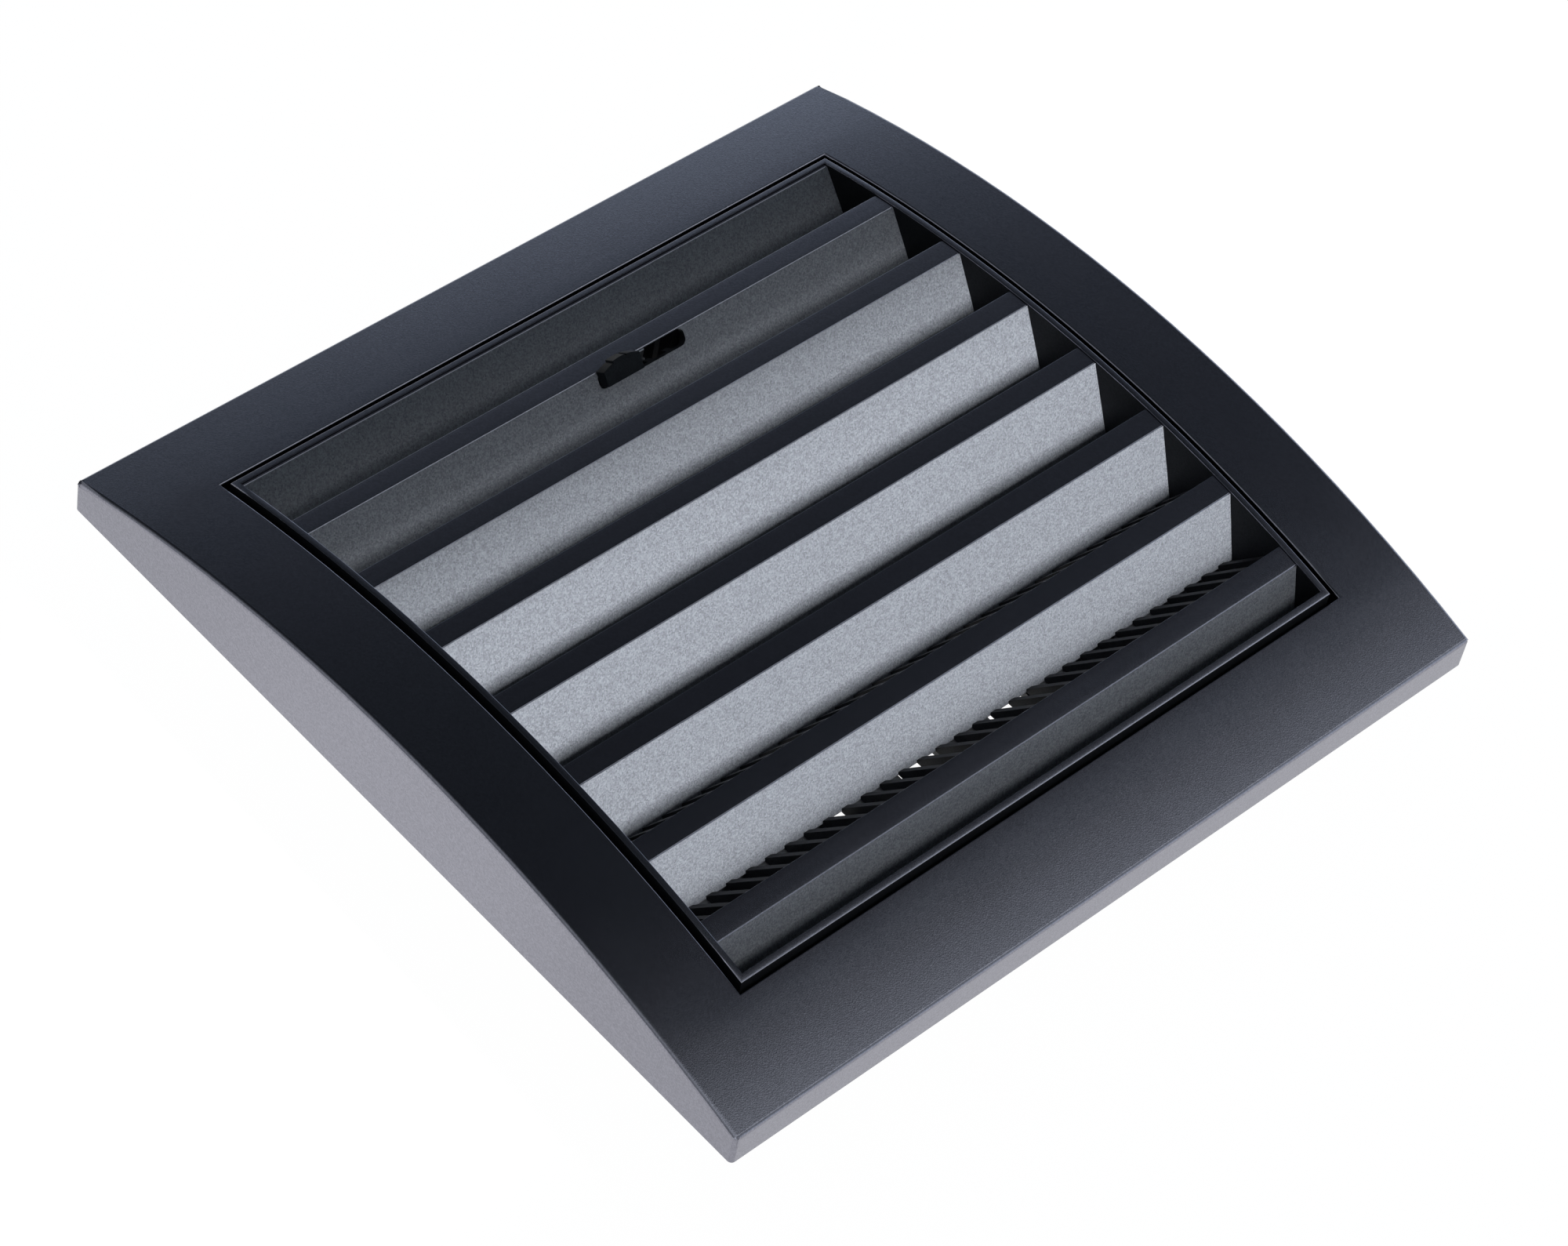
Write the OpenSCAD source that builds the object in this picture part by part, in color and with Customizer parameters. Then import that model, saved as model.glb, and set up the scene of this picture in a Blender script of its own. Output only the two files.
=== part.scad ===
// Adjustable vent grille for a round air duct.
// A curved frame sits round a louvred insert, and behind the louvres a slotted
// shutter slides over a slotted back plate, moved by a small knob.
// Units are millimetres. X runs along the louvres, Y across them, Z out of the wall.
// The origin is on the duct's axis, in the plane of the wall.

/* [Frame] */
// Length of the frame along the louvres
frame_x = 200; // [196:1:230]
// Width of the frame across the louvres
frame_y = 194; // [190:1:204]
// Height of the frame's two low edges above the wall
edge_h = 7.6; // [7:0.1:12]
// Height of the crown above the low edges
crown_h = 15.4; // [13:0.1:20]
// Thickness of the frame's shell
frame_wall = 2; // [1.5:0.1:3]
// Radius on the frame's outer edges
edge_r = 1; // [0.6:0.1:1.4]
// Length of the window along the louvres
window_x = 162; // [158:1:166]
// Width of the window across the louvres
window_y = 152; // [148:1:156]
// Thickness of the skirt that hangs round the window
skirt_t = 1.6; // [1.2:0.1:2.4]

/* [Louvred insert] */
// Gap between the insert and the window
insert_gap = 1.3; // [0.8:0.1:1.6]
// Thickness of the insert's rim
rim_t = 1.4; // [1.2:0.1:2]
// How far the rim stands proud of the louvres
rim_proud = 0.4; // [0.2:0.1:0.8]
// Distance from louvre to louvre, along the curve
louvre_pitch = 20; // [18:0.5:22]
// Place of the louvre edge nearest the crown, along the curve
louvre_shift = -6.6; // [-8:0.1:-5]
// Lean of a louvre's face from the square of the curve, in degrees
louvre_lean = 26.4; // [20:0.1:30]
// Depth of the louvres below the curve
louvre_depth = 16; // [13:0.5:16.5]
// Width of the flat strip on top of each louvre
strip_w = 5.1; // [4:0.1:6]
// Thickness of the strip and of the louvre below it
louvre_t = 1.5; // [1.2:0.1:1.8]
// Distance from web to web
web_pitch = 5; // [4.5:0.1:8]
// Thickness of a web
web_t = 1.5; // [1:0.1:2]
// Height of a louvre's foot below the webs' slanted edge
web_land = 0.6; // [0.4:0.1:1]

/* [Shutter and back plate] */
// Thickness of the back plate
plate_t = 1.8; // [1.5:0.1:2]
// Thickness of the shutter
shutter_t = 1.4; // [1.2:0.1:1.5]
// Distance from slot to slot
slot_pitch = 24.4; // [23.5:0.1:25]
// Width of a slot
slot_w = 11.5; // [10.8:0.1:11.6]
// Place of the slot nearest the middle
slot_shift = -9.8; // [-10.5:0.1:-9]
// Edge of the shutter beyond the ends of its slots
shutter_border = 5; // [4:0.5:6]
// Edge of the shutter beside its first and last slot
shutter_end = 11.6; // [8:0.1:12]
// Thickness of the two guide ribs beside the shutter
guide_t = 1.5; // [1.2:0.1:2.5]
// Nominal bore of the duct
duct_d = 125; // [118:1:125]
// Wall of the duct collar
collar_wall = 1.2; // [1:0.1:2]
// Length of the duct collar behind the wall plane
collar_len = 40; // [30:1:60]
// Clearance between the collar and the duct, all round
duct_play = 0.3; // [0.2:0.1:0.6]
// Distance from a wall screw to the frame's side, along X
screw_in_x = 11; // [10:0.5:12]
// Distance from a wall screw to the frame's side, along Y
screw_in_y = 11.5; // [10:0.5:12.5]
// Bore of a screw hole
screw_d = 4.4; // [3.6:0.1:4.8]
// Height of the back plate's upright edge
upstand_h = 4; // [3.5:0.1:4.2]
// Thickness of the back plate's upright edge
upstand_t = 1.6; // [1.2:0.1:2]
// Length of a clip on the frame
clip_l = 10; // [6:1:16]
// Distance between the two clips of a side
clip_span = 110; // [90:5:130]

/* [Knob] */
// Place of the knob across the grille, which puts it on the nearest louvre
knob_place = 53; // [50:1:56]
// Left end of the knob's slot
track_x0 = -4.4; // [-8:0.1:-2]
// Length of the knob's slot
track_l = 23.1; // [22:0.1:26]
// Height of the knob's slot
track_h = 3.6; // [3.2:0.1:4]
// Radius on the corners of the knob's slot
track_r = 1.4; // [0.8:0.1:1.6]
// Distance of the knob's slot from the louvre's edge
track_edge = 0.5; // [0.4:0.1:0.8]
// Length of the knob's cap
knob_l = 9.6; // [8:0.1:11]
// Height of the knob's cap, down the louvre's face
knob_h = 4.3; // [4:0.1:5.5]
// How far the cap reaches above the louvre's edge
knob_over = 1.2; // [0.6:0.1:1.6]
// Thickness of the knob's cap
knob_t = 2.7; // [2:0.1:3.5]
// Rise of the arched upper side of the cap
knob_arch = 1.1; // [0.6:0.1:1.6]
// Length of each of the two grips on the cap's upper side
grip_l = 3.2; // [2.4:0.1:3.2]
// Height of a grip
grip_h = 0.4; // [0.2:0.05:0.6]
// Gap between the two grips
grip_gap = 0.4; // [0.3:0.05:0.8]
// Thickness of the shutter's stem
stem_t = 1.4; // [1.1:0.1:1.6]
// Width of the stem's foot on the shutter
stem_foot = 11; // [8:0.5:12]
// Width of the stem's head behind the slot
stem_head = 14.6; // [13:0.1:16]

/* [Fits] */
// Running gap of the shutter, and of the knob against the louvre
play = 0.3; // [0.2:0.05:0.4]
// Gap beside the shutter's two long edges
side_play = 0.5; // [0.3:0.05:0.8]
// Gap left at each end of the knob's slot when the knob is at its stop
track_play = 0.5; // [0.3:0.05:0.8]
// Gap between the frame and the back plate
seat_gap = 0.3; // [0.2:0.05:0.5]
// Depth to which a clip reaches into the back plate's upright edge
clip_bite = 0.6; // [0.4:0.05:0.9]
// Height of a clip
clip_h = 1.2; // [0.8:0.1:1.6]

/* [Hidden] */
$fn = 96;

// Margin by which a cutter runs past what it cuts
cut = 1;

// The curve of the front: an arc across the grille, straight along it
half_y = frame_y / 2;
arc_r = (half_y * half_y + crown_h * crown_h) / (2 * crown_h);
arc_z = edge_h + crown_h - arc_r;
reach = arc_r;

insert_x = window_x - 2 * insert_gap;
insert_y = window_y - 2 * insert_gap;
well_x = insert_x - 2 * rim_t;
well_y = insert_y - 2 * rim_t;

plate_x = frame_x - 2 * (frame_wall + seat_gap);
plate_y = frame_y - 2 * (frame_wall + seat_gap);
shutter_z = plate_t + play;
shutter_top = shutter_z + shutter_t;
well_floor = shutter_top + play;
collar_r = duct_d / 2 - duct_play;
bore_r = collar_r - collar_wall;
shutter_slot = 2 * bore_r;
shutter_y = shutter_slot + 2 * shutter_border;
clip_in = seat_gap + clip_bite;
clip_z = plate_t + upstand_h / 2;

// Half a step of the slots closes the grille, and the knob's slot is as long as that needs
travel = slot_pitch / 2;
neck_l = track_l - travel - 2 * track_play;
slots_left = floor((bore_r + slot_shift) / slot_pitch);
slots_right = floor((bore_r - slot_shift) / slot_pitch);
web_n = floor((well_x / 2 - web_t) / web_pitch);
louvre_n = ceil((well_y / 2 + strip_w) / louvre_pitch);

function turn(k) = (louvre_shift + k * louvre_pitch) / arc_r * 180 / PI;

// A point of the cross-section, u along the curve and v from the curve's centre
function across(a, u, v) = [u * cos(a) + v * sin(a), arc_z + v * cos(a) - u * sin(a)];
function face(k, d) = across(turn(k), -d * tan(louvre_lean), arc_r - d);
function back(k, d) = across(turn(k), louvre_t / cos(louvre_lean) - d * tan(louvre_lean), arc_r - d);

// Depth at which the webs' slanted edge meets louvre k, above the well's floor
function foot(k) = min(louvre_depth, (face(k, 0)[1] - well_floor)
                       / (cos(turn(k)) - tan(louvre_lean) * sin(turn(k)))) - web_land;

// The louvre with the knob, counted from the crown: its edge, its lean from upright, and points beside its face
knob_louvre = round((knob_place - louvre_shift) / louvre_pitch);
knob_edge = face(knob_louvre, 0);
knob_lean = louvre_lean + turn(knob_louvre);
function beside(f, n) = knob_edge + f * [-sin(knob_lean), -cos(knob_lean)]
                                  + n * [-cos(knob_lean), sin(knob_lean)];
stem_top = knob_edge[1] - louvre_t / cos(turn(knob_louvre)) - 2 * play;
stem_y = knob_edge[0] - (knob_edge[1] - stem_top) * tan(knob_lean) + louvre_t / cos(knob_lean) + play;
function neck_n(f) = (knob_edge[0] - f * sin(knob_lean) - stem_y) / cos(knob_lean);
neck_top = track_edge + 3 * play;
neck_bottom = track_edge + track_h - 2 * play;
neck_x0 = track_x0 + track_play;
stem_x0 = neck_x0 - play;

// Extrudes a cross-section, drawn in Y and Z, from x0 for a length of l
module along_x(x0, l) {
    translate([x0, 0, 0]) rotate([90, 0, 90]) linear_extrude(height = l) children();
}

// A flat block that is centred on X and Y and goes from z0 to z1
module slab(x, y, z0, z1) {
    translate([-x / 2, -y / 2, z0]) cube([x, y, z1 - z0]);
}

// Everything between z0 and the curve of radius r, as a cross-section
module under_curve(r, y, z0) {
    intersection() {
        translate([0, arc_z]) circle(r = r);
        translate([-y / 2, z0]) square([y, reach]);
    }
}

// The frame's cross-section, with its two low edges rounded
module frame_section() {
    corner_y = half_y - edge_r;
    corner_up = sqrt(pow(arc_r - edge_r, 2) - corner_y * corner_y);
    intersection() {
        union() {
            intersection() {
                translate([0, arc_z]) circle(r = arc_r);
                translate([0, arc_z])
                    polygon([[0, 0], 2 * [corner_y, corner_up], 2 * [-corner_y, corner_up]]);
            }
            for (side = [-1, 1]) translate([side * corner_y, arc_z + corner_up]) circle(r = edge_r);
            translate([-half_y, 0]) square([frame_y, arc_z + corner_up]);
        }
        translate([-half_y, 0]) square([frame_y, reach]);
    }
}

// The curved sheet swept round the curve's centre, with its two long edges rounded
module rounded_sweep() {
    translate([0, 0, arc_z]) rotate([0, 90, 0]) rotate([0, 0, 90])
        rotate_extrude($fn = 360) union() {
            translate([0, -frame_x / 2]) square([arc_r - edge_r, frame_x]);
            translate([0, edge_r - frame_x / 2]) square([arc_r, frame_x - 2 * edge_r]);
            for (side = [-1, 1]) translate([arc_r - edge_r, side * (frame_x / 2 - edge_r)]) circle(r = edge_r);
        }
}

// A rounded rectangle, as an outline
module round_rect(x, y, r) {
    square([x - 2 * r, y], center = true);
    square([x, y - 2 * r], center = true);
    for (i = [-1, 1]) for (j = [-1, 1]) translate([i * (x / 2 - r), j * (y / 2 - r)]) circle(r = r);
}

module frame_outside() {
    intersection() {
        along_x(-frame_x / 2, frame_x) frame_section();
        rounded_sweep();
        linear_extrude(height = reach) round_rect(frame_x, frame_y, edge_r);
    }
}

// The four clips inside the frame, or with a margin the windows that they snap into
module clips(grow) {
    for (i = [-1, 1]) for (j = [-1, 1])
        translate([i * (frame_x / 2 - frame_wall - clip_in / 2), j * clip_span / 2, clip_z])
            cube([clip_in + 2 * grow, clip_l + 2 * grow, clip_h + 2 * grow], center = true);
}
module outer_frame() {
    color([0.18, 0.19, 0.21]) union() {
        difference() {
            frame_outside();
            difference() {
                along_x(frame_wall - frame_x / 2, frame_x - 2 * frame_wall)
                    under_curve(arc_r - frame_wall, frame_y - 2 * frame_wall, -cut);
                slab(window_x + 2 * skirt_t, window_y + 2 * skirt_t, plate_t + seat_gap, reach);
            }
            slab(window_x, window_y, -cut, reach);
        }
        clips(0);
    }
}

// The open channel in front of a louvre's face, down to the webs' slanted edges
module channel(k) {
    polygon([
        across(turn(k), strip_w, arc_r + louvre_depth),
        across(turn(k), strip_w, arc_r - louvre_t),
        face(k + 1, foot(k + 1)),
        face(k + 1, 0),
        across(turn(k + 1), 0, arc_r + louvre_depth)
    ]);
}

// The space between two webs, under the channel and behind the louvre before it
module web_cell(k) {
    polygon([
        back(k, louvre_t),
        across(turn(k), strip_w, arc_r - louvre_t),
        (across(turn(k), strip_w, arc_r - louvre_t) + face(k + 1, 0)) / 2,
        face(k + 1, foot(k + 1)),
        face(k + 1, 2 * louvre_depth),
        back(k, 2 * louvre_depth)
    ]);
}

// Keeps what lies between the rim's two long sides
module in_well() {
    intersection() {
        union() children();
        translate([-well_y / 2, -reach]) square([well_y, 3 * reach]);
    }
}

// Louvres and webs as one cross-section, before the spaces between the webs are cut
module louvre_section() {
    difference() {
        under_curve(arc_r, well_y + rim_t, well_floor);
        translate([0, arc_z]) circle(r = arc_r - louvre_depth);
        in_well() for (k = [-louvre_n:louvre_n - 1]) channel(k);
    }
}

module insert_rim() {
    difference() {
        along_x(-insert_x / 2, insert_x) under_curve(arc_r + rim_proud, insert_y, plate_t);
        slab(well_x, well_y, 0, reach);
    }
}

module web_spaces() {
    edge = well_x / 2;
    for (i = [-web_n - 1:web_n]) {
        x0 = max(i * web_pitch + web_t / 2, -edge);
        x1 = min((i + 1) * web_pitch - web_t / 2, edge);
        along_x(x0, x1 - x0) in_well() for (k = [-louvre_n:louvre_n - 1]) web_cell(k);
    }
}

// The slot in the louvre's face that the knob's neck runs in
module knob_track() {
    translate([0, knob_edge[0], knob_edge[1]]) rotate([90 - knob_lean, 0, 0])
        translate([track_x0 + track_l / 2, -track_edge - track_h / 2, neck_n(neck_bottom) - 2 * play])
            linear_extrude(height = 2 * louvre_depth) round_rect(track_l, track_h, track_r);
}

// The way through the webs that the shutter's stem moves in
module stem_way() {
    translate([stem_x0 - 2 * play, stem_y - play, 0])
        cube([stem_head + travel + 4 * play, stem_t + 2 * play, stem_top + play]);
}

module louvre_insert() {
    color([0.55, 0.57, 0.60]) union() {
        insert_rim();
        difference() {
            along_x(-(well_x + rim_t) / 2, well_x + rim_t) louvre_section();
            web_spaces();
            knob_track();
            stem_way();
        }
    }
}

// The row of slots, as an outline; l is their length
module slot_row(l) {
    for (i = [-slots_left:slots_right])
        translate([slot_shift + i * slot_pitch - slot_w / 2, -l / 2]) square([slot_w, l]);
}

module back_plate() {
    rib_y = shutter_y / 2 + side_play;
    rib_x0 = slot_shift - slots_left * slot_pitch - slot_w / 2 - shutter_end;
    rib_l = (slots_left + slots_right) * slot_pitch + slot_w + 2 * shutter_end + travel;
    color([0.20, 0.21, 0.23]) difference() {
        union() {
            slab(plate_x, plate_y, 0, plate_t);
            difference() {
                slab(plate_x, plate_y, 0, plate_t + upstand_h);
                slab(plate_x - 2 * upstand_t, plate_y - 2 * upstand_t, -cut, reach);
            }
            for (side = [-1, 1])
                translate([rib_x0, side * (rib_y + guide_t / 2) - guide_t / 2, 0])
                    cube([rib_l, guide_t, shutter_top]);
        }
        translate([0, 0, -cut]) linear_extrude(height = plate_t + 2 * cut) intersection() {
            circle(r = bore_r);
            slot_row(2 * bore_r + slot_w);
        }
        for (i = [-1, 1]) for (j = [-1, 1])
            translate([i * (frame_x / 2 - screw_in_x), j * (frame_y / 2 - screw_in_y), -cut])
                cylinder(d = screw_d, h = plate_t + 2 * cut);
        clips(play);
    }
}

module duct_collar() {
    color([0.20, 0.21, 0.23]) translate([0, 0, -collar_len]) difference() {
        cylinder(r = collar_r, h = collar_len);
        translate([0, 0, -cut]) cylinder(r = bore_r, h = collar_len + 2 * cut);
    }
}

// The stem stands on the shutter behind the louvre and carries the knob's neck
module stem() {
    foot_x0 = slot_shift + slot_pitch / 2 - stem_foot / 2;
    step_z = knob_edge[1] - track_h;
    translate([foot_x0, stem_y, shutter_z]) cube([stem_foot, stem_t, stem_top - shutter_z - track_h]);
    translate([stem_x0, stem_y, step_z - track_h]) cube([stem_head, stem_t, track_h / 2]);
    translate([stem_x0, stem_y, step_z - track_h]) cube([stem_head - stem_t / 2, stem_t, stem_top - step_z + track_h]);
}

module shutter_plate() {
    left = slot_shift - slots_left * slot_pitch - slot_w / 2 - shutter_end;
    length = (slots_left + slots_right) * slot_pitch + slot_w + 2 * shutter_end;
    color([0.62, 0.64, 0.67]) union() {
        translate([0, 0, shutter_z]) linear_extrude(height = shutter_t) difference() {
            translate([left, -shutter_y / 2]) square([length, shutter_y]);
            slot_row(shutter_slot);
        }
        stem();
    }
}

// The cap's outline on the louvre's face, with two grips along its arched upper side
module cap_outline() {
    r = (pow(knob_l / 2, 2) + knob_arch * knob_arch) / (2 * knob_arch);
    intersection() {
        translate([0, knob_over - r]) circle(r = r);
        translate([-knob_l / 2, knob_over - knob_h]) square([knob_l, knob_h]);
    }
    for (i = [1, 2]) intersection() {
        translate([0, knob_over - r]) circle(r = r + grip_h);
        translate([knob_l / 2 - i * grip_l - (i - 1) * grip_gap, knob_over - knob_arch - grip_h])
            square([grip_l, knob_arch + 2 * grip_h]);
    }
}

module control_knob() {
    color([0.14, 0.14, 0.15]) union() {
        translate([0, knob_edge[0], knob_edge[1]]) rotate([90 - knob_lean, 0, 0])
            translate([track_x0 + knob_l / 2, 0, play]) linear_extrude(height = knob_t) cap_outline();
        along_x(neck_x0, neck_l) polygon([
            beside(neck_top, play + knob_t / 2),
            beside(neck_bottom, play + knob_t / 2),
            beside(neck_bottom, neck_n(neck_bottom)),
            beside(neck_top, neck_n(neck_top))
        ]);
    }
}

outer_frame();
louvre_insert();
back_plate();
duct_collar();
shutter_plate();
control_knob();
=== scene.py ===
# %% [markdown]
# # An adjustable vent grille
# The grille covers the mouth of a ventilation duct. Its construction comes from the
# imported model: an arched frame, a louvred insert, a back plate with a duct collar, and
# a slotted shutter that a small knob slides. This lesson gives those pieces the soft
# edges and the fine-grained plastic of the real ones, and lights them as in a studio.

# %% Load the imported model
import math

import bmesh
import bpy
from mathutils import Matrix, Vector


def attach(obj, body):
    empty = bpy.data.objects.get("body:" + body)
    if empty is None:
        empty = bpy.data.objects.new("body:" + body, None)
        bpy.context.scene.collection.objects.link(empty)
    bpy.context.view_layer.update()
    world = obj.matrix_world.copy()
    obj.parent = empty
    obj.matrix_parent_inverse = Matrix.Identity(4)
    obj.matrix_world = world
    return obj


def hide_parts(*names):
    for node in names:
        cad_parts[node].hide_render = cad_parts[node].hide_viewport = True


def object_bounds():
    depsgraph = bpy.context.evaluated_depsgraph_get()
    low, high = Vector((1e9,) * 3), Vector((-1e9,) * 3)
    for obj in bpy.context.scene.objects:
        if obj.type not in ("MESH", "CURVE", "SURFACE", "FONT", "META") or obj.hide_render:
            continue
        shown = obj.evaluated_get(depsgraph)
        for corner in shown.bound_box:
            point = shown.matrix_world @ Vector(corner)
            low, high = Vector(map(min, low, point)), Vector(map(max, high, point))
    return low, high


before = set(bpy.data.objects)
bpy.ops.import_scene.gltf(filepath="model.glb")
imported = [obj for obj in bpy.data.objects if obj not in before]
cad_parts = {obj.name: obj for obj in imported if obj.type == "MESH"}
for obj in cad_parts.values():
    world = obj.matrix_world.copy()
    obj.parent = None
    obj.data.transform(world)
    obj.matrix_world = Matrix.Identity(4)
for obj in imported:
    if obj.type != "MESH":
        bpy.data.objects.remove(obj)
cad_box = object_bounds()
print("CAD box", [round(c, 4) for corner in cad_box for c in corner])

# %% [markdown]
# ## The camera
# The photograph was taken with a long lens from the corner of the grille, a little under
# 50 degrees up. Place, turn and focal length were worked out from the frame's corners
# and the rows of louvres, so they are set as plain numbers here.

# %% Camera
MM = 0.001
CAMERA_PLACE = Vector((-0.4973, -0.3984, 0.7161))
CAMERA_TURN = (40.63, -7.87, -42.50)
LENS_MM = 110.55
SENSOR_MM = 36

bpy.ops.object.camera_add(location=CAMERA_PLACE)
camera = bpy.context.object
camera.rotation_euler = [math.radians(angle) for angle in CAMERA_TURN]
camera.data.sensor_fit = "HORIZONTAL"
camera.data.sensor_width = SENSOR_MM
camera.data.lens = LENS_MM
bpy.context.scene.camera = camera
print("camera", round(CAMERA_PLACE.length, 3), "m from the grille")

# %% [markdown]
# ## Anthracite plastic
# The grille is moulded in a dark grey plastic with a fine metallic grain: tiny flakes
# that catch the light. The flakes are a Voronoi pattern on the object's own coordinates,
# so they stay with each piece. They vary the colour a little, and a second, softer
# noise breaks up the gloss, as on any moulded surface.
#
# The insert and the frame get three versions of this plastic. The arched faces and the
# outer walls are smooth and mirror the room like satin metal. The louvres' leaning faces
# are matt and grainy, and their lighter grey is painted light, added to the lamps' light.
# The walls inside the insert and its guard webs are painted nearly black: painted shade.

# %% Plastic material
FLAKE_SIZE = 0.3 * MM
FLAKE_DEPTH = 0.02 * MM
BLOTCHES_PER_METRE = 90
GLOSS_RANGE = 0.02


def node_of(tree, kind, **sockets):
    """Adds a shader node and sets the sockets that are named."""
    node = tree.nodes.new(kind)
    for socket, value in sockets.items():
        node.inputs[socket.replace("_", " ")].default_value = value
    return node


def link(tree, source, target):
    tree.links.new(source, target)


def grained_plastic(name, dark, light, metallic, roughness, grain, shine=0.5):
    """A satin plastic whose colour runs from dark to light from flake to flake."""
    material = bpy.data.materials.new(name)
    material.use_nodes = True
    tree = material.node_tree
    shader = tree.nodes["Principled BSDF"]
    shader.inputs["Metallic"].default_value = metallic
    shader.inputs["Specular IOR Level"].default_value = shine
    place = tree.nodes.new("ShaderNodeTexCoord")
    flakes = node_of(tree, "ShaderNodeTexVoronoi", Scale=1 / FLAKE_SIZE)
    link(tree, place.outputs["Object"], flakes.inputs["Vector"])
    tone = tree.nodes.new("ShaderNodeValToRGB")
    tone.color_ramp.elements[0].color = (*dark, 1)
    tone.color_ramp.elements[1].color = (*light, 1)
    link(tree, flakes.outputs["Color"], tone.inputs["Fac"])
    link(tree, tone.outputs["Color"], shader.inputs["Base Color"])
    blotch = node_of(tree, "ShaderNodeTexNoise", Scale=BLOTCHES_PER_METRE, Detail=4)
    link(tree, place.outputs["Object"], blotch.inputs["Vector"])
    gloss = node_of(tree, "ShaderNodeMapRange",
                    To_Min=roughness - GLOSS_RANGE, To_Max=roughness + GLOSS_RANGE)
    link(tree, blotch.outputs["Fac"], gloss.inputs["Value"])
    link(tree, gloss.outputs["Result"], shader.inputs["Roughness"])
    bump = node_of(tree, "ShaderNodeBump", Strength=grain, Distance=FLAKE_DEPTH)
    link(tree, flakes.outputs["Distance"], bump.inputs["Height"])
    link(tree, bump.outputs["Normal"], shader.inputs["Normal"])
    print("material", name)
    return material


# Painted light: a light grey, matt copy of the dark plastic for the louvres' leaning faces. The
# grain is the plastic's own; the light grey stands in for lamp light.
GRAINED_FACE_PAINTED_LIGHT = grained_plastic("anthracite_louvre_face_painted_light", (0.18, 0.192, 0.216), (0.40, 0.425, 0.476),
                       metallic=0.0, roughness=0.8, grain=0.9)
FRONT = grained_plastic("anthracite_front", (0.21, 0.21, 0.246), (0.29, 0.29, 0.339),
                        metallic=1.0, roughness=0.22, grain=0.35)
# Painted shade: a nearly black copy of the plastic for the walls inside the insert, the guard
# webs and the insert's other faces away from the light.
NEARLY_BLACK_PAINTED_SHADE = grained_plastic("anthracite_inside_painted_shade", (0.012, 0.013, 0.015), (0.020, 0.021, 0.025),
                         metallic=0.0, roughness=0.5, grain=0.3, shine=0.1)
BACK = grained_plastic("anthracite_back", (0.07, 0.075, 0.085), (0.10, 0.105, 0.115),
                       metallic=0.2, roughness=0.5, grain=0.3)
SHUTTER = grained_plastic("anthracite_shutter", (0.20, 0.21, 0.23), (0.32, 0.34, 0.36),
                          metallic=0.8, roughness=0.4, grain=0.3)
KNOB = grained_plastic("black_knob", (0.010, 0.012, 0.015), (0.016, 0.019, 0.023),
                       metallic=0.0, roughness=0.35, grain=0.2, shine=0.06)

# %% [markdown]
# ## Pieces with soft edges
# Nothing that comes out of a mould has a knife edge. The CAD meshes are exact but sharp,
# and made of loose triangles. So each piece starts as a merged copy of its CAD mesh, the
# flat triangles are joined into whole faces, and a Bevel modifier rounds the edges that
# are marked. The copy then replaces the CAD node.

# %% Dress a CAD node
MERGE_DISTANCE = 0.001 * MM
FLAT_ANGLE = math.radians(0.2)
SMOOTH_ANGLE = math.radians(30)


def select_only(piece):
    bpy.ops.object.select_all(action="DESELECT")
    piece.select_set(True)
    bpy.context.view_layer.objects.active = piece


def merged_copy(node, name):
    """A copy of a CAD node's mesh as one connected surface with whole flat faces."""
    piece = bpy.data.objects.new(name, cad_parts[node].data.copy())
    piece.data.name = name
    bpy.context.scene.collection.objects.link(piece)
    select_only(piece)
    bpy.ops.object.mode_set(mode="EDIT")
    bpy.ops.mesh.select_all(action="SELECT")
    bpy.ops.mesh.remove_doubles(threshold=MERGE_DISTANCE)
    bpy.ops.mesh.dissolve_limited(angle_limit=FLAT_ANGLE)
    bpy.ops.object.mode_set(mode="OBJECT")
    return piece


def extent(piece):
    """The lowest and highest value of the piece's corners along each axis."""
    corners = [corner.co for corner in piece.data.vertices]
    return [(min(line), max(line)) for line in zip(*corners)]


def keep_inside(piece, limits):
    """Brings corners that a bevel pushed past the CAD shape back to its outer faces."""
    for corner in piece.data.vertices:
        corner.co = [min(max(at, low), high) for at, (low, high) in zip(corner.co, limits)]


def dress(node, name, body, materials, radius, wanted,
          segments=3, clamp=True, material_by_face=None):
    """Rounds the edges of a CAD node for which wanted(edge) is true, and shades it.

    finish(face) is the number of the face's material, where there are several. With
    clamp the bevels of neighbouring edges stop each other. Where small details would
    stop them all, clamp is off and wanted() leaves the small details out."""
    piece = merged_copy(node, name)
    limits = extent(piece)
    piece.data.materials.clear()
    for material in materials:
        piece.data.materials.append(material)
    shape = bmesh.new()
    shape.from_mesh(piece.data)
    weight = shape.edges.layers.float.new("bevel_weight_edge")
    count = 0
    for edge in shape.edges:
        if len(edge.link_faces) == 2 and wanted(edge):
            edge[weight] = 1
            count += 1
    for face in shape.faces:
        face.material_index = material_by_face(face) if material_by_face else 0
    shape.to_mesh(piece.data)
    shape.free()
    bevel = piece.modifiers.new("soft_edges", "BEVEL")
    bevel.limit_method = "WEIGHT"
    bevel.width = radius
    bevel.segments = segments
    bevel.material = 0
    bevel.use_clamp_overlap = clamp
    select_only(piece)
    bpy.ops.object.modifier_apply(modifier=bevel.name)
    keep_inside(piece, limits)
    bpy.ops.object.shade_smooth_by_angle(angle=SMOOTH_ANGLE)
    even = piece.modifiers.new("even_shading", "WEIGHTED_NORMAL")
    even.keep_sharp = True
    bpy.ops.object.modifier_apply(modifier=even.name)
    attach(piece, body)
    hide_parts(node)
    print(name, count, "edges rounded", len(piece.data.polygons), "faces")
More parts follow.
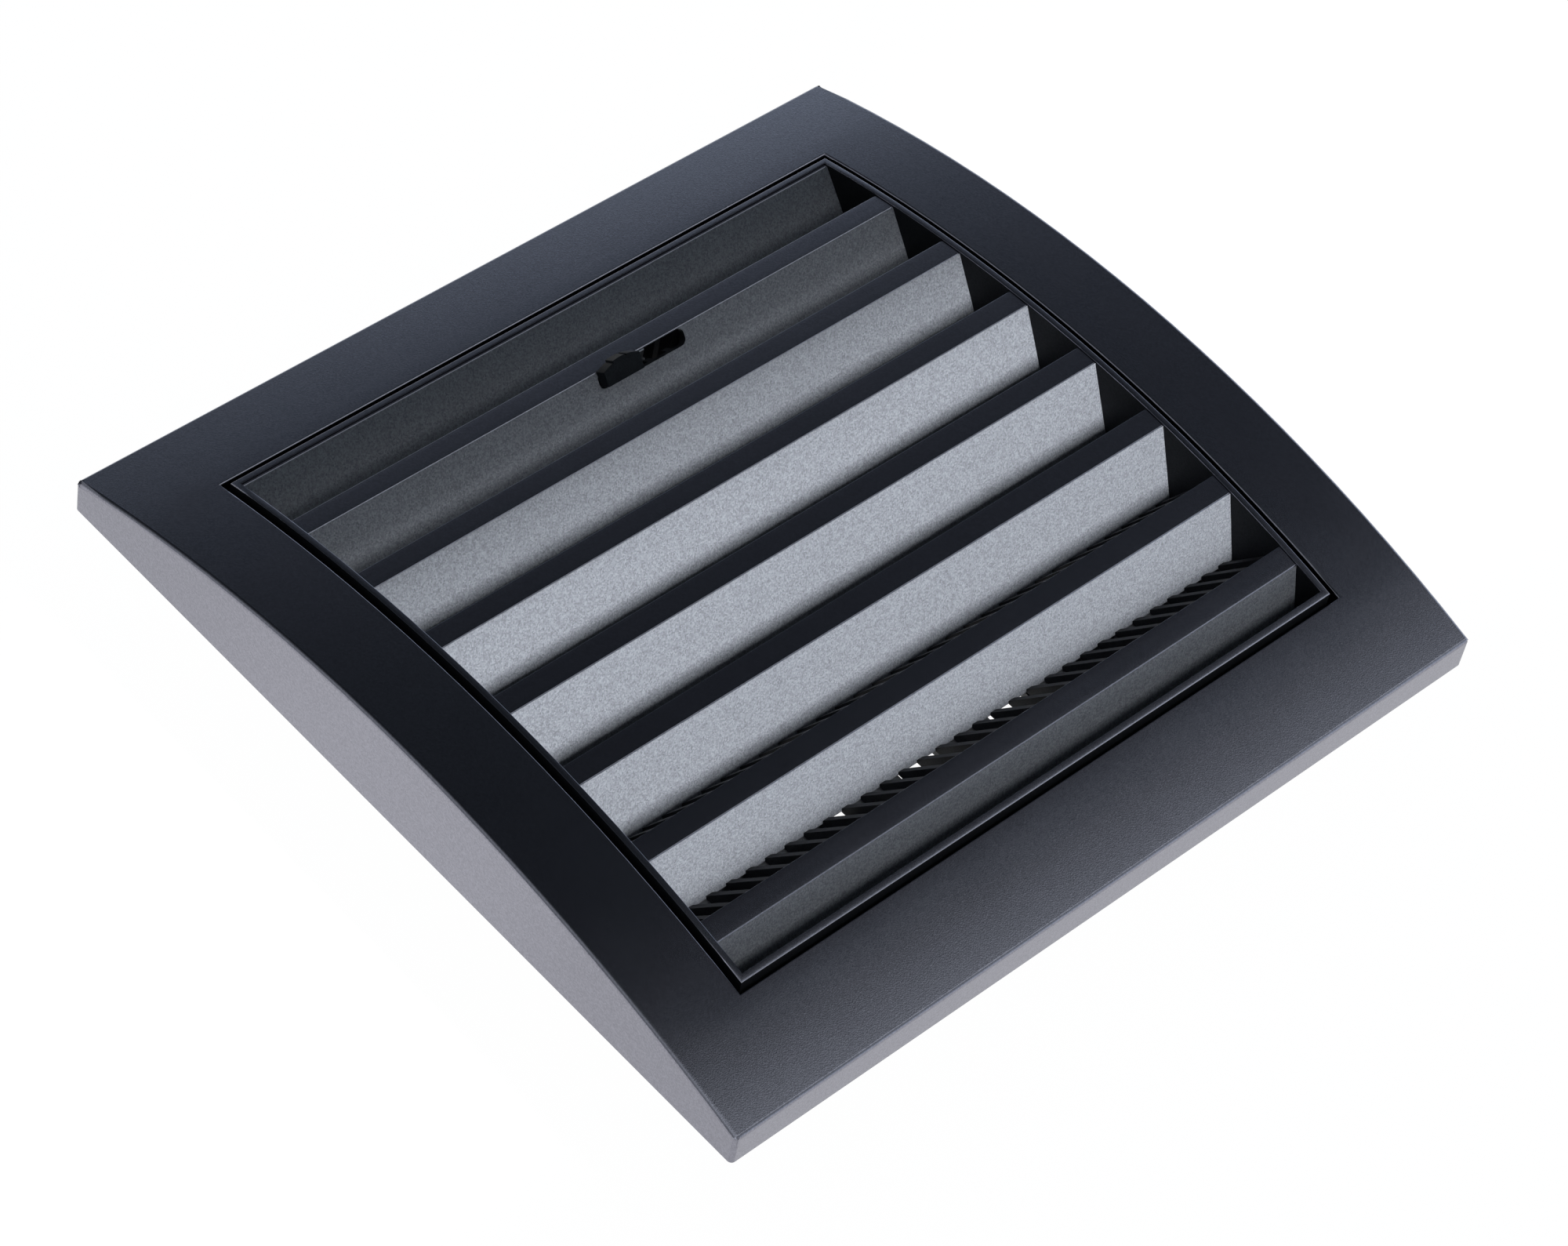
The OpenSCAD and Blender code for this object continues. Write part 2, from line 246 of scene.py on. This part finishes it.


# %% [markdown]
# ## Which edges, and which material
# The tops of frame and louvres lie on one arc, seen from the side. A point's distance
# from that arc tells the edges that catch the light from the hundreds of edges between
# the guard webs, which stay as they are. The way a face points picks its material: satin
# on the arc, a lighter grey copy (painted light) on the faces leaning towards the lamps,
# and a nearly black copy (painted shade) everywhere else.

# %% Choose edges, and the satin, painted light and painted shade
HALF_WIDTH = 97 * MM
CROWN = 15.4 * MM
TOP = 23 * MM
ARC_RADIUS = (HALF_WIDTH ** 2 + CROWN ** 2) / (2 * CROWN)
ARC_CENTRE = Vector((0, TOP - ARC_RADIUS))
ARC_MARGIN = 0.6 * MM
SHARP_ANGLE = math.radians(40)
# Material numbers: satin; a grained copy painted lighter, which is painted light; a nearly black
# copy, which is painted shade.
SATIN, GRAINED_PAINTED_LIGHT, DARK_PAINTED_SHADE = 0, 1, 2


def is_sharp(edge):
    return edge.calc_face_angle(0) > SHARP_ANGLE


def on_arc(point):
    """True near the arched face that the frame and the louvres share."""
    return abs((point.yz - ARC_CENTRE).length - ARC_RADIUS) < ARC_MARGIN


def is_top_edge(edge):
    """The frame's window edge, and the louvres' and the rim's upper edges."""
    return (edge.is_convex and is_sharp(edge)
            and all(on_arc(corner.co) for corner in edge.verts))


def louvre_satin_painted_light_or_shade(face):
    """Satin on the tops, a grained copy painted lighter on the louvres' leaning faces (painted
    light), and a nearly black copy inside (painted shade).
    """
    along, across, up = face.normal
    if up > 0.95 and on_arc(face.calc_center_median()):
        return SATIN
    leaning = abs(along) < 0.01 and across < -0.7 and up > 0.1
    return GRAINED_PAINTED_LIGHT if leaning else DARK_PAINTED_SHADE


# %% Frame, insert, plate, collar, shutter and knob
dress("outer_frame", "arched_frame", "housing", [FRONT],
      0.5 * MM, is_top_edge, clamp=False)
# The insert gets painted light on its leaning faces and painted shade on its inner walls and
# webs, besides its satin tops.
dress("louvre_insert", "louvred_front", "housing", [FRONT, GRAINED_FACE_PAINTED_LIGHT, NEARLY_BLACK_PAINTED_SHADE],
      0.2 * MM, is_top_edge, segments=2, clamp=False, material_by_face=louvre_satin_painted_light_or_shade)
dress("back_plate", "wall_plate", "housing", [BACK],
      0.2 * MM, is_sharp, segments=1)
dress("duct_collar", "collar", "housing", [BACK],
      0.3 * MM, is_sharp, segments=2)
dress("shutter_plate", "sliding_shutter", "shutter", [SHUTTER],
      0.2 * MM, is_sharp, segments=1)
dress("control_knob", "knob_cap", "shutter", [KNOB],
      0.4 * MM, is_sharp)

# %% [markdown]
# ## Studio
# The grille lies on a white table. Seen by the camera, or mirrored in the satin plastic,
# the table is plain white, which gives the outer walls their light grey. A share of
# plain diffuse keeps the grille's shadow on it.

# %% Floor
FLOOR_SIZE = 8
FLOOR_WHITE = 0.985
FLOOR_GREY = 0.1
FLOOR_ROUGHNESS = 0.9


def any_of(tree, *values):
    """1 where any of the values is 1."""
    total = values[0]
    for value in values[1:]:
        node = tree.nodes.new("ShaderNodeMath")
        node.operation = "MAXIMUM"
        link(tree, total, node.inputs[0])
        link(tree, value, node.inputs[1])
        total = node.outputs[0]
    return total


bpy.ops.mesh.primitive_plane_add(size=FLOOR_SIZE, location=(0, 0, cad_box[0].z))
floor = bpy.context.object
floor.name = "studio_floor"
floor_material = bpy.data.materials.new("studio_floor")
floor_material.use_nodes = True
tree = floor_material.node_tree
matt = tree.nodes["Principled BSDF"]
matt.inputs["Base Color"].default_value = (FLOOR_GREY, FLOOR_GREY, FLOOR_GREY, 1)
matt.inputs["Roughness"].default_value = FLOOR_ROUGHNESS
glow = node_of(tree, "ShaderNodeEmission", Strength=FLOOR_WHITE)
both = tree.nodes.new("ShaderNodeAddShader")
path = tree.nodes.new("ShaderNodeLightPath")
choice = tree.nodes.new("ShaderNodeMixShader")
link(tree, matt.outputs["BSDF"], both.inputs[0])
link(tree, glow.outputs["Emission"], both.inputs[1])
link(tree, any_of(tree, path.outputs["Is Camera Ray"], path.outputs["Is Glossy Ray"],
                  path.outputs["Is Transmission Ray"]), choice.inputs["Fac"])
link(tree, matt.outputs["BSDF"], choice.inputs[1])
link(tree, both.outputs["Shader"], choice.inputs[2])
link(tree, choice.outputs["Shader"], tree.nodes["Material Output"].inputs["Surface"])
floor.data.materials.append(floor_material)
print("floor at", round(cad_box[0].z, 4), "m")

# %% [markdown]
# ## The room
# The arched front mirrors a different part of the room at every height, so the room
# decides how its tone runs. Three gradings add up to the room:
#
# - X minus Z is nearly black over the grille and white at the horizon on the right;
# - Y has a soft bright strip over the near side, which lights the front's near end;
# - X also gets lighter far on the left.
#
# Only mirroring rays see this room. Other rays find it evenly dim, so that the lamps
# decide the shadows, and the camera finds plain white.

# %% World
TO_THE_HORIZON = [(-0.35, 0.03), (-0.20, 0.048), (-0.10, 0.065), (0.00, 0.08),
                  (0.10, 0.12), (0.20, 0.21), (0.28, 0.40), (0.40, 0.8), (0.70, 1.0)]
TO_THE_NEAR_SIDE = [(-0.90, 0.3), (-0.45, 0.4), (-0.32, 1.2), (-0.25, 1.2), (-0.20, 0.58),
                    (-0.16, 0.12), (-0.10, 0.06), (0.00, 0.015), (0.08, 0.0)]
TO_THE_LEFT = [(-1.00, 0.3), (-0.60, 0.5), (-0.30, 0.1), (0.00, 0.0)]
COOL = (0.84, 0.97, 1.13)
NEUTRAL = (0.92, 0.97, 1.0)
DIM_LEVEL = 0.08


def graded(tree, value, stops, tint):
    """A tinted brightness that follows a value through (value, level) stops."""
    low, high = stops[0][0], stops[-1][0]
    share = node_of(tree, "ShaderNodeMapRange", From_Min=low, From_Max=high)
    ramp = tree.nodes.new("ShaderNodeValToRGB")
    stop = ramp.color_ramp.elements
    while len(stop) < len(stops):
        stop.new(0.5)
    for number, (at, level) in enumerate(stops):
        stop[number].position = (at - low) / (high - low)
        stop[number].color = (*[channel * level for channel in tint], 1)
    link(tree, value, share.inputs["Value"])
    link(tree, share.outputs["Result"], ramp.inputs["Fac"])
    return ramp.outputs["Color"]


world = bpy.data.worlds.new("studio")
world.use_nodes = True
bpy.context.scene.world = world
tree = world.node_tree
direction = tree.nodes.new("ShaderNodeTexCoord")
parts = tree.nodes.new("ShaderNodeSeparateXYZ")
link(tree, direction.outputs["Generated"], parts.inputs["Vector"])
x_minus_z = tree.nodes.new("ShaderNodeMath")
x_minus_z.operation = "SUBTRACT"
link(tree, parts.outputs["X"], x_minus_z.inputs[0])
link(tree, parts.outputs["Z"], x_minus_z.inputs[1])
total = graded(tree, x_minus_z.outputs["Value"], TO_THE_HORIZON, COOL)
for part, stops in (("Y", TO_THE_NEAR_SIDE), ("X", TO_THE_LEFT)):
    both = tree.nodes.new("ShaderNodeVectorMath")
    link(tree, total, both.inputs[0])
    link(tree, graded(tree, parts.outputs[part], stops, NEUTRAL), both.inputs[1])
    total = both.outputs["Vector"]
sky = tree.nodes["Background"]
link(tree, total, sky.inputs["Color"])
dim = node_of(tree, "ShaderNodeBackground", Color=(*COOL, 1), Strength=DIM_LEVEL)
white = node_of(tree, "ShaderNodeBackground", Color=(1, 1, 1, 1), Strength=1)
path = tree.nodes.new("ShaderNodeLightPath")
mirrored = tree.nodes.new("ShaderNodeMixShader")
link(tree, path.outputs["Is Glossy Ray"], mirrored.inputs["Fac"])
link(tree, dim.outputs["Background"], mirrored.inputs[1])
link(tree, sky.outputs["Background"], mirrored.inputs[2])
choice = tree.nodes.new("ShaderNodeMixShader")
link(tree, path.outputs["Is Camera Ray"], choice.inputs["Fac"])
link(tree, mirrored.outputs["Shader"], choice.inputs[1])
link(tree, white.outputs["Background"], choice.inputs[2])
link(tree, choice.outputs["Shader"], tree.nodes["World Output"].inputs["Surface"])
print("room, from", TO_THE_HORIZON[0][1], "overhead to", TO_THE_HORIZON[-1][1], "at the horizon")

# %% [markdown]
# ## Lamps
# The light falls from the near side, about 50 degrees up, straight across the louvres.
# In the photograph it does not reach them all: those in the middle are fully lit, and
# the last ones towards the knob lie in half shade. So the lamps are long narrow beams
# of nearly parallel light, and each ends in a gap between two louvres, where its edge
# doesn't show. Several beams at slightly different leans make the shadows at the
# louvres' feet soft. The key beams light the middle, and every second one stops a
# louvre earlier. The fill beams are weaker and reach the knob's louvre too.
#
# The satin faces don't mirror the lamps, since the room has its own bright strip there.

# %% Lamps
GAP_HEIGHT = 15.5 * MM
LAMP_LENGTH = 0.6
LAMP_DISTANCE = 0.5
KEY_LEANS = range(46, 60, 2)
KEY_NEAR, KEY_FAR = -60, (39, 21)
KEY_LEVEL, KEY_SPREAD = 0.52, 2
FILL_LEANS = (47, 52, 57)
FILL_NEAR, FILL_FAR = -95, 58.5
FILL_LEVEL, FILL_SPREAD = 0.25, 5


def beam(name, lean, near, far, level, spread):
    """A lamp that lights the louvres from y = near to y = far, both in millimetres.

    lean is its height over the table in degrees, as seen along the louvres."""
    angle = math.radians(lean)
    towards = Vector((0, -math.cos(angle), math.sin(angle)))
    across = Vector((0, math.sin(angle), math.cos(angle)))
    low, high = [Vector((0, y * MM, GAP_HEIGHT)).dot(across) for y in (near, far)]
    middle = (low + high) / 2 * across
    bpy.ops.object.light_add(type="AREA", location=middle + LAMP_DISTANCE * towards)
    lamp = bpy.context.object
    lamp.name = name
    lamp.data.shape = "RECTANGLE"
    lamp.data.size = LAMP_LENGTH
    lamp.data.size_y = high - low
    lamp.data.energy = level * lamp.data.size * lamp.data.size_y
    lamp.data.spread = math.radians(spread)
    lamp.rotation_euler = towards.to_track_quat("Z", "Y").to_euler()
    lamp.visible_camera = False
    lamp.visible_glossy = False
    print("lamp", name, round(lamp.data.energy, 4), "W")


for number, lean in enumerate(KEY_LEANS):
    beam(f"key_{lean}", lean, KEY_NEAR, KEY_FAR[number % 2], KEY_LEVEL, KEY_SPREAD)
for lean in FILL_LEANS:
    beam(f"fill_{lean}", lean, FILL_NEAR, FILL_FAR, FILL_LEVEL, FILL_SPREAD)

# %% [markdown]
# ## Finish
# Colours go to the picture unchanged.

# %% Finish
bpy.context.scene.view_settings.view_transform = "Standard"
